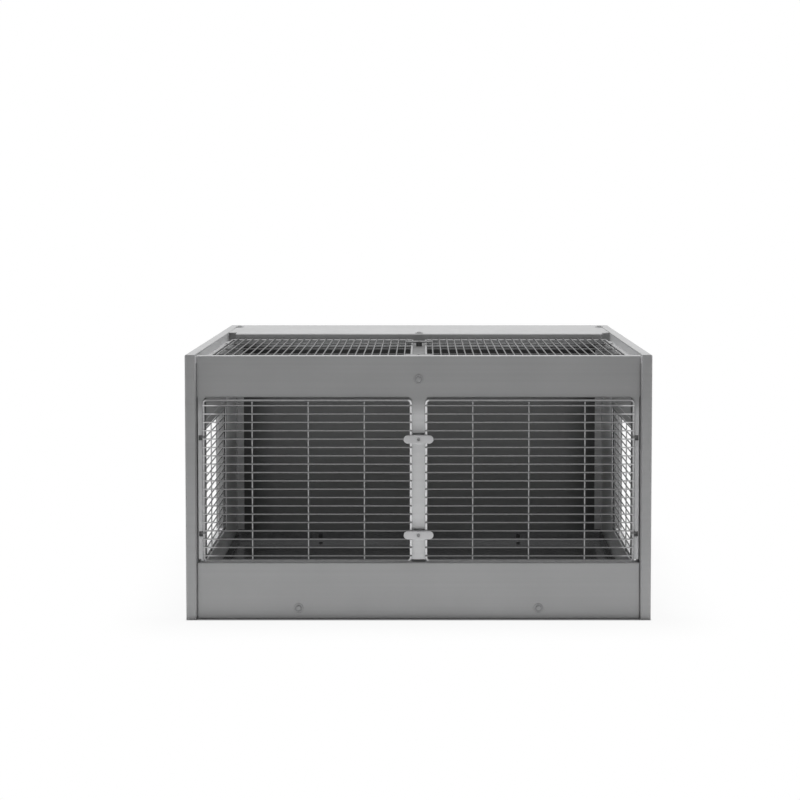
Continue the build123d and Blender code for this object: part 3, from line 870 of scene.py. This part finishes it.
def loop_tree():
    """Tree that bends one round wire into a rectangle with rounded corners, flat on XY."""
    tree, given = node_tree(
        "Bent frame wire", Width="Float", Length="Float", Corner="Float", Corner_Steps="Int",
        Radius="Float", Sides="Int", Material="Material"
    )
    path = grow(tree, "CurvePrimitiveQuadrilateral", Width=given["Width"], Height=given["Length"])
    bent = grow(
        tree, "FilletCurve", mode="POLY", Curve=path, Radius=given["Corner"], Count=given["Corner Steps"]
    )
    return end_tree(tree, round_wire(tree, given, bent), given["Material"])


def copies_tree():
    """Tree that sets a copy of a fitting on each place, turned as the place says."""
    tree, given = node_tree("Fittings on places", Places="Geometry", Fitting="Object", Material="Material")
    fitting = add_node(tree, "GeometryNodeObjectInfo", Object=given["Fitting"]).outputs["Geometry"]
    turn = grow(tree, "InputNamedAttribute", data_type="QUATERNION", Name="turn")
    copies = grow(tree, "InstanceOnPoints", Points=given["Places"], Instance=fitting, Rotation=turn)
    return end_tree(tree, copies, given["Material"])


def places_mesh(points, turns=()):
    """Mesh of loose points, with a turn for each where turns are given."""
    mesh = bpy.data.meshes.new("places")
    mesh.from_pydata(points, [], [])
    if turns:
        attribute = mesh.attributes.new("turn", "QUATERNION", "POINT")
        for entry, turn in zip(attribute.data, turns):
            entry.value = turn
    return mesh


def grown(maker, places, **inputs):
    """Plain mesh that a tree grows on a mesh of places, with inputs by name."""
    tree = maker()
    carrier = bpy.data.objects.new("places", places)
    modifier = carrier.modifiers.new(tree.name, "NODES")
    modifier.node_group = tree
    for socket in tree.interface.items_tree:
        name = socket.name.replace(" ", "_")
        if socket.in_out == "INPUT" and name in inputs:
            modifier[socket.identifier] = inputs[name]
    mesh = evaluated(carrier)
    bpy.data.node_groups.remove(tree)
    return mesh


def fitted(mesh, points, turns, finish):
    """Plain mesh with a copy of a fitting on each point."""
    fitting = bpy.data.objects.new("fitting", mesh)
    copies = grown(copies_tree, places_mesh(points, turns), Fitting=fitting, Material=finish_of(finish))
    bpy.data.objects.remove(fitting)
    copies.set_sharp_from_angle(angle=round_angle)
    return copies


def placed(point, turn):
    """Matrix that turns a fitting and brings it to a point."""
    return Matrix.Translation(point) @ turn.to_matrix().to_4x4()


def even_row(low, high, count):
    """Evenly spaced values from low to high."""
    return [low + (high - low) * index / (count - 1) for index in range(count)]


def wire_lines(node, step, thin, count):
    """Places of a panel's wires along the axis that they step on."""
    low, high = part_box(node)
    radius = (high[thin] - low[thin]) / 2
    return even_row(low[step] + radius, high[step] - radius, count)


def window_upright_lines(node):
    """Places along Y of a window's uprights: one at each end, the rest as far apart as a door's."""
    count = settings().wire.cross_wires
    front, back = wire_lines(node, y_axis, x_axis, 2)
    door = wire_lines("left_door_uprights", x_axis, y_axis, count)
    reach = (door[-1] - door[0]) / 2
    centre = (front + back) / 2
    return [front, *even_row(centre - reach, centre + reach, count), back]


def wire_panels():
    """Each panel of welded wire: name, bars and cross wires with their axes and places, and frame wire."""
    wire = settings().wire
    for side in sides:
        for kind, wires, run, step, thin in panel_kinds:
            panel = f"{side}_{kind}"
            bars, cross, frame_wire = f"{panel}_bars", f"{panel}_{wires}", f"{panel}_frame"
            bar_lines = wire_lines(bars, step, thin, getattr(wire, f"{kind}_bars"))
            if kind == "window":
                cross_lines = window_upright_lines(cross)
                frame_wire = None
            else:
                cross_lines = wire_lines(cross, run, thin, wire.cross_wires)
            yield panel, (bars, run, step, bar_lines), (cross, step, run, cross_lines), frame_wire


def straight_wires(node, run, step, lines):
    """Mesh of a panel's parallel wires, as long as their solids."""
    low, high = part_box(node)
    thin = third_axis(run, step)
    points = []
    for line in lines:
        point = middle(node)
        point[run] = low[run]
        point[step] = line
        points.append(point)
    along = Vector((0, 0, 0))
    along[run] = high[run] - low[run]
    mesh = grown(
        wires_tree, places_mesh(points), Run=along, Radius=(high[thin] - low[thin]) / 2,
        Sides=settings().wire.sides, Material=finish_of(finish_name(node))
    )
    mesh.shade_smooth()
    mesh.set_sharp_from_angle(angle=round_angle)
    return mesh


class HUTCH_OT_boards(bpy.types.Operator):
    """Shape all boards, with soft edges"""

    bl_idname = "hutch.boards"
    bl_label = "Boards"

    def execute(self, context):
        for node in boards:
            dress_node(f"{node}_board", eased(node), node)
        return {"FINISHED"}


class HUTCH_OT_sheets(bpy.types.Operator):
    """Round off the edges of the corner angles and window trims"""

    bl_idname = "hutch.sheets"
    bl_label = "Corner Angles and Trims"

    def execute(self, context):
        for node in sheets:
            dress_node(f"{node}_sheet", softened(node), node)
        return {"FINISHED"}


def fold_points(radius, inset, foot):
    """Points of a fold from the floor to the wall: insets from the tray's outline, and heights."""
    turns = even_row(0, pi / 2, settings().tray.steps + 1)
    return [(inset + radius * (1 - sin(turn)), foot + radius * (1 - cos(turn))) for turn in turns]


def tray_loop(low, high, inset, z):
    """Level loop round the tray, with rounded corners, drawn in from the tray's outline."""
    tray = settings().tray
    corner = max(tray.corner - inset, tray.sheet)
    centre = (low + high) / 2
    half = (high - low) / 2 - Vector((inset + corner, inset + corner, 0))
    points = []
    for quarter, (across, along) in enumerate(((1, 1), (-1, 1), (-1, -1), (1, -1))):
        x = centre.x + across * half.x
        y = centre.y + along * half.y
        for step in range(tray.steps + 1):
            angle = pi / 2 * (quarter + step / tray.steps)
            points.append((x + corner * cos(angle), y + corner * sin(angle), z))
    return points


class HUTCH_OT_tray(bpy.types.Operator):
    """Fold the litter tray from one sheet, with holes in its front and rear flanges"""

    bl_idname = "hutch.tray"
    bl_label = "Litter Tray"

    def execute(self, context):
        tray = settings().tray
        low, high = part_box("tray_side_flanges")
        outside = fold_points(tray.fold, 0, low.z)
        inside = fold_points(tray.fold - tray.sheet, tray.sheet, low.z + tray.sheet)
        section = [*outside, (0, high.z), (tray.sheet, high.z), *reversed(inside)]
        loops = [tray_loop(low, high, *point) for point in section]
        pan = bpy.data.objects.new("pan", lofted(loops, "tray_pan"))
        drill = bmesh.new()
        for y, radius in ((low.y, tray.front_hole), (high.y, tray.rear_hole)):
            for x in (-tray.hole_spacing / 2, tray.hole_spacing / 2):
                bmesh.ops.create_cone(
                    drill, cap_ends=True, segments=settings().fittings.steps,
                    radius1=radius, radius2=radius, depth=drill_sheets * tray.sheet,
                    matrix=placed((x, y, low.z + tray.hole_height), facing_front),
                )
        holes = bpy.data.objects.new("holes", to_mesh(drill, "holes"))
        bpy.context.scene.collection.objects.link(holes)
        cut = pan.modifiers.new("holes", "BOOLEAN")
        cut.object = holes
        mesh = evaluated(pan)
        bpy.data.objects.remove(holes)
        mesh.set_sharp_from_angle(angle=round_angle)
        dress_node("litter_tray_pan", mesh, *tray_sheets)
        return {"FINISHED"}


class HUTCH_OT_frame_wires(bpy.types.Operator):
    """Bend the frame wire of each door and lid"""

    bl_idname = "hutch.frame_wires"
    bl_label = "Frame Wires"

    def execute(self, context):
        wire = settings().wire
        for panel, bars, cross, node in wire_panels():
            if node is None:
                continue
            low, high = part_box(node)
            size = high - low
            thick = min(size)
            mesh = grown(
                loop_tree, places_mesh([]), Width=size.x - thick, Length=max(size.y, size.z) - thick,
                Corner=wire.corner, Corner_Steps=wire.corner_steps, Radius=thick / 2, Sides=wire.sides,
                Material=finish_of(finish_name(node))
            )
            mesh.transform(placed(middle(node), facing_front if size.y == thick else facing_up))
            mesh.shade_smooth()
            dress_node(f"{node}_wire", mesh, node)
        return {"FINISHED"}


class HUTCH_OT_mesh_wires(bpy.types.Operator):
    """Lay the round bars and cross wires of the doors, lids and windows"""

    bl_idname = "hutch.mesh_wires"
    bl_label = "Bars and Cross Wires"

    def execute(self, context):
        for panel, bars, cross, frame_wire in wire_panels():
            for wires in (bars, cross):
                node = wires[0]
                dress_node(f"{node}_wires", straight_wires(*wires), node)
        return {"FINISHED"}


class HUTCH_OT_welds(bpy.types.Operator):
    """Put a small weld on each crossing of two wires"""

    bl_idname = "hutch.welds"
    bl_label = "Welds"

    def execute(self, context):
        wire = settings().wire
        shape = bmesh.new()
        bmesh.ops.create_uvsphere(
            shape, u_segments=weld_sides, v_segments=weld_rings, radius=wire.weld_reach
        )
        weld = to_mesh(shape, "weld", pi)
        for panel, bars, cross, frame_wire in wire_panels():
            bar_node, cross_step, bar_step, bar_lines = bars
            cross_node, cross_lines = cross[0], cross[-1]
            depth = third_axis(bar_step, cross_step)
            if frame_wire:
                cross_lines = [*cross_lines, *wire_lines(frame_wire, cross_step, depth, 2)]
            plane = (middle(bar_node)[depth] + middle(cross_node)[depth]) / 2
            points = []
            for bar_line in bar_lines:
                for cross_line in cross_lines:
                    point = [plane, plane, plane]
                    point[bar_step] = bar_line
                    point[cross_step] = cross_line
                    points.append(point)
            squash = [1, 1, 1, 1]
            squash[depth] = wire.weld_rise / wire.weld_reach
            flat = weld.copy()
            flat.transform(Matrix.Diagonal(squash))
            mesh = fitted(flat, points, [facing_up] * len(points), "zinc_wire")
            dress(f"{panel}_welds", mesh, body_of[bar_node], "zinc_wire", "zinc_wire")
        return {"FINISHED"}


def latch_mesh(length, width, depth):
    """Pill-shaped latch facing +Z, on a boss round its pivot, with a recess for the rivet's head."""
    fit = settings().fittings
    span = (length - width) / 2
    half = width / 2
    back = depth - fit.plate
    hole = fit.rivet * fit.rivet_play
    ease = latch_ease * fit.latch_edge
    loops = [
        slot_loop(0, hole, 0),
        slot_loop(0, fit.boss - ease, 0),
        slot_loop(0, fit.boss, ease),
        slot_loop(0, fit.boss, back),
        slot_loop(span, half - ease, back),
        slot_loop(span, half, back + ease),
    ]
    for turn in even_row(0, pi / 2, latch_edge_points):
        inset = fit.latch_edge * (1 - cos(turn))
        loops.append(slot_loop(span, half - inset, depth - fit.latch_edge * (1 - sin(turn))))
    loops += [
        slot_loop(0, fit.recess + ease, depth),
        slot_loop(0, fit.recess, depth - ease),
        slot_loop(0, fit.recess, depth - fit.recess_depth),
        slot_loop(0, hole, depth - fit.recess_depth),
    ]
    return lofted(loops, "latch", ring=True)


class HUTCH_OT_latches(bpy.types.Operator):
    """Mould the four turn latches"""

    bl_idname = "hutch.latches"
    bl_label = "Turn Latches"

    def execute(self, context):
        for node in door_latches + lid_latches:
            low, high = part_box(node)
            size = high - low
            seat = middle(node)
            if node in door_latches:
                mesh = latch_mesh(size.x, size.z, size.y)
                seat.y = high.y
                mesh.transform(placed(seat, facing_front))
            else:
                mesh = latch_mesh(size.x, size.y, size.z)
                seat.z = low.z
                mesh.transform(placed(seat, facing_up))
            dress_node(f"{node}_moulding", mesh, node)
        return {"FINISHED"}


class HUTCH_OT_rivets(bpy.types.Operator):
    """Turn the hollow rivets of the latches"""

    bl_idname = "hutch.rivets"
    bl_label = "Rivets"

    def execute(self, context):
        fit = settings().fittings
        tail = fit.rivet_tail
        for node, latches, axis, turn in (
            ("door_latch_rivets", door_latches, y_axis, facing_front),
            ("lid_latch_rivets", lid_latches, z_axis, facing_up),
        ):
            top = extent(node, axis) - tail
            seat = extent(latches[0], axis) - fit.recess_depth
            profile = [(0, -tail), (fit.rivet, -tail), (fit.rivet, seat), (fit.rivet_head, seat)]
            for out, down in rivet_head_profile:
                profile.append((out * fit.rivet_head, top - down * fit.recess_depth))
            low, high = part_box(node)
            points = [middle(latch) for latch in latches]
            for point in points:
                point[axis] = high.y - tail if axis == y_axis else low.z + tail
            mesh = fitted(turned(profile, "rivet"), points, [turn] * len(points), finish_name(node))
            dress_node(f"{node}_turned", mesh, node)
        return {"FINISHED"}


def screw_mesh(length):
    """Screw facing +Z: dished washer, domed middle and a plain shank below Z = 0."""
    fit = settings().fittings
    shank = fit.shank
    tip = tip_length * shank - length
    profile = [(0, -length), (tip_radius * shank, -length), (shank, tip), (shank, 0)]
    for radius, shares in ((fit.washer, washer_profile), (fit.dome, dome_profile)):
        profile += [(out * radius, up * fit.screw_head) for out, up in shares]
    return turned(profile, "screw")


class HUTCH_OT_screws(bpy.types.Operator):
    """Turn the domed screws of the rail, roof and tray"""

    bl_idname = "hutch.screws"
    bl_label = "Domed Screws"

    def execute(self, context):
        fit = settings().fittings
        low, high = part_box("tray_screws")
        seat = low.y + fit.screw_head
        points = [(x, seat, (low.z + high.z) / 2) for x in (low.x + fit.washer, high.x - fit.washer)]
        turns = [facing_front, facing_front]
        mesh = fitted(screw_mesh(high.y - seat), points, turns, finish_name("tray_screws"))
        dress_node("tray_screws_turned", mesh, "tray_screws")
        low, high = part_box("frame_screws")
        roof_low, roof_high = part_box("roof_plate")
        rail_low, rail_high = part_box("front_frame")
        points = [
            (0, rail_low.y, rail_high.z - fit.rail_screw_drop),
            (0, roof_low.y + fit.roof_screw_edge, roof_high.z),
            (low.x + fit.washer, high.y - fit.washer, roof_high.z),
            (high.x - fit.washer, high.y - fit.washer, roof_high.z),
        ]
        turns = [facing_front, facing_up, facing_up, facing_up]
        mesh = fitted(screw_mesh(fit.frame_screw), points, turns, finish_name("frame_screws"))
        dress_node("frame_screws_turned", mesh, "frame_screws")
        return {"FINISHED"}


def strap_loop(point, across, low, high, thick):
    """Loop round a strap at a point of its path: its section, with eased corners."""
    ease = strap_ease * thick
    half = thick / 2
    section = [
        (-half + ease, low), (half - ease, low), (half, low + ease), (half, high - ease),
        (half - ease, high), (-half + ease, high), (-half, high - ease), (-half, low + ease),
    ]
    return [(point.x + across.x * offset, point.y + across.y * offset, z) for offset, z in section]


def clip_mesh(wire_radius, floor, reach, mirrored):
    """Hinge clip bent from a strap: a tail on a pocket's floor, a leg and a ring round the wire along Z."""
    fit = settings().fittings
    radius = wire_radius + fit.strap / 2
    bend = fit.strap
    tail_y = floor - fit.strap / 2
    path = [Vector((-reach, tail_y))]
    for turn in even_row(90, 0, bend_points):
        angle = radians(turn)
        path.append(Vector((bend * cos(angle) - radius - bend, bend * sin(angle) + tail_y - bend)))
    tall = len(path) // 2
    for turn in even_row(ring_start, ring_end, ring_points):
        angle = radians(turn)
        path.append(Vector((radius * cos(angle), radius * sin(angle))))
    loops = []
    for index, point in enumerate(path):
        along = path[min(index + 1, len(path) - 1)] - path[max(index - 1, 0)]
        across = along.orthogonal().normalized()
        foot = fit.ring_height - fit.tail_height if index < tall else 0
        loops.append(strap_loop(point, across, foot, fit.ring_height, fit.strap))
        if index == tall - 1:
            loops.append(strap_loop(point, across, 0, fit.ring_height, fit.strap))
    if mirrored:
        loops = [[(-x, y, z) for x, y, z in loop] for loop in loops]
    return lofted(loops, "clip")


class HUTCH_OT_clips(bpy.types.Operator):
    """Bend the hinge clips of the doors and lids"""

    bl_idname = "hutch.clips"
    bl_label = "Hinge Clips"

    def execute(self, context):
        fit = settings().fittings
        foot = fit.tail_height - fit.ring_height
        for side in sides:
            mirrored = side == "right"
            for panel, along, turn in (("door", z_axis, facing_up), ("lid", y_axis, facing_back)):
                node = f"{side}_{panel}_hinge_clips"
                pivot = Vector(joint_places[f"{side}_{panel}_swing"])
                low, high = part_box(node)
                floor = high.y - pivot.y if panel == "door" else pivot.z - low.z
                reach, outside = pivot.x - low.x, high.x - pivot.x
                if mirrored:
                    reach, outside = outside, reach
                clip = clip_mesh(outside - fit.strap, floor, reach, mirrored)
                points = []
                for height in (low[along] + foot, high[along] - fit.ring_height):
                    point = pivot.copy()
                    point[along] = height
                    points.append(point)
                dress_node(f"{node}_bent", fitted(clip, points, [turn, turn], finish_name(node)), node)
        return {"FINISHED"}


def floor_finish():
    """Pale floor that shows the shadow near the hutch and turns plain white further off."""
    studio = settings().studio
    finish = Finish("floor_finish")
    finish.tree.nodes.remove(finish.shader)
    size = cad_high - cad_low
    mirrored = finish.vector("ABSOLUTE", finish.place)
    past = finish.vector("SUBTRACT", mirrored, (size.x / 2, size.y / 2, 0))
    outside = finish.vector("MAXIMUM", past, (0, 0, 0))
    distance = finish.node("VectorMath", outside, operation="LENGTH").outputs["Value"]
    far = finish.spread(distance, 1 - studio.shadow_share, 1, 0, studio.shadow_reach)
    far.node.interpolation_type = "SMOOTHSTEP"
    foot = finish.spread(distance, 0, 1, 0, studio.foot_edge)
    matt = finish.node("BsdfDiffuse", Color=(*studio.floor, 1)).outputs["BSDF"]
    white = finish.node("Emission", Color=(1, 1, 1, 1), Strength=1.0).outputs["Emission"]
    mix = finish.node("MixShader", finish.times(far, foot, finish.seen()), matt, white).outputs["Shader"]
    feed(finish.tree, finish.tree.nodes["Material Output"].inputs["Surface"], mix)
    return finish.material


def studio_world():
    """White for what the eye sees, and a soft light from above and both sides for everything else."""
    studio = settings().studio
    world = bpy.data.worlds.new("studio_world")
    nodes = ShaderNodes(world, "Generated")
    sky = nodes.spread(nodes.along("Z"), 0, studio.sky, studio.sky_start, 1)
    flank = nodes.spread(nodes.off_middle(), 0, studio.flank, studio.flank_start, 1)
    background = nodes.tree.nodes["Background"].inputs
    background["Color"].default_value = (1, 1, 1, 1)
    feed(nodes.tree, background["Strength"], nodes.spread(nodes.seen(), nodes.plus(sky, flank), 1, 0, 1))
    return world


def soft_lamp(name, size, power, place, pitch):
    """Wide soft lamp, level, that neither the camera nor a mirror sees."""
    light = bpy.data.lights.new(name, "AREA")
    light.shape = "RECTANGLE"
    light.size, light.size_y = size
    light.energy = power
    lamp = bpy.data.objects.new(name, light)
    lamp.location = place
    lamp.rotation_euler = (pitch, 0, 0)
    lamp.visible_camera = False
    lamp.visible_glossy = False
    bpy.context.scene.collection.objects.link(lamp)


def light_table():
    """Four lamps on the floor round the hutch, shining up."""
    studio = settings().studio
    size = cad_high - cad_low
    depth = studio.table_reach - studio.table_gap
    across = size.x / 2 + studio.table_gap + depth / 2
    along = size.y / 2 + studio.table_gap + depth / 2
    for name, x, y, width, length in (
        ("front", 0, -along, size.x + 2 * studio.table_reach, depth),
        ("back", 0, along, size.x + 2 * studio.table_reach, depth),
        ("left", -across, 0, depth, size.y),
        ("right", across, 0, depth, size.y),
    ):
        power = studio.table_glow * width * length
        soft_lamp(f"light_table_{name}", (width, length), power, (x, y, studio.table_height), pi)


class HUTCH_OT_studio(bpy.types.Operator):
    """Lay the floor, set up the lamps and the camera"""

    bl_idname = "hutch.studio"
    bl_label = "Studio"

    def execute(self, context):
        studio = settings().studio
        scene = context.scene
        scene.view_settings.view_transform = "Standard"
        scene.world = studio_world()

        shape = bmesh.new()
        bmesh.ops.create_circle(shape, cap_ends=True, segments=floor_sides, radius=studio.floor_radius)
        floor = bpy.data.objects.new("floor", to_mesh(shape, "floor"))
        floor.data.materials.append(floor_finish())
        scene.collection.objects.link(floor)

        soft_lamp("overhead_lamp", studio.lamp_size, studio.lamp_power, (0, 0, studio.lamp_height), 0)
        light_table()

        lens = bpy.data.cameras.new("camera")
        lens.lens = studio.lens
        lens.shift_x, lens.shift_y = studio.shift
        camera = bpy.data.objects.new("camera", lens)
        camera.location = studio.place
        camera.rotation_euler = (pi / 2 - studio.pitch, 0, 0)
        scene.collection.objects.link(camera)
        scene.camera = camera
        return {"FINISHED"}


class HUTCH_PT_panel(bpy.types.Panel):
    """Lists the pieces of the hutch"""

    bl_idname = "HUTCH_PT_panel"
    bl_label = "Small Animal Hutch"
    bl_space_type = "VIEW_3D"
    bl_region_type = "UI"
    bl_category = "Hutch"

    def draw(self, context):
        for operator in operators:
            self.layout.operator(operator.bl_idname)


operators = (
    HUTCH_OT_boards, HUTCH_OT_sheets, HUTCH_OT_tray, HUTCH_OT_frame_wires, HUTCH_OT_mesh_wires,
    HUTCH_OT_welds, HUTCH_OT_latches, HUTCH_OT_rivets, HUTCH_OT_screws, HUTCH_OT_clips, HUTCH_OT_studio,
)
classes = (
    HutchEdges, HutchTray, HutchWire, HutchFittings, HutchFinishes, HutchStudio, HutchSettings,
    *operators, HUTCH_PT_panel,
)


def register():
    """Register the settings, operators and panel."""
    for made in classes:
        bpy.utils.register_class(made)
    bpy.types.Scene.hutch = PointerProperty(
        type=HutchSettings, name="Hutch", description="Settings of the hutch"
    )


def unregister():
    """Take the settings, operators and panel away again."""
    del bpy.types.Scene.hutch
    for made in reversed(classes):
        bpy.utils.unregister_class(made)


def main():
    """Make every piece in order."""
    register()
    bpy.ops.hutch.boards()
    bpy.ops.hutch.sheets()
    bpy.ops.hutch.tray()
    bpy.ops.hutch.frame_wires()
    bpy.ops.hutch.mesh_wires()
    bpy.ops.hutch.welds()
    bpy.ops.hutch.latches()
    bpy.ops.hutch.rivets()
    bpy.ops.hutch.screws()
    bpy.ops.hutch.clips()
    bpy.ops.hutch.studio()


if __name__ == "__main__":
    main()
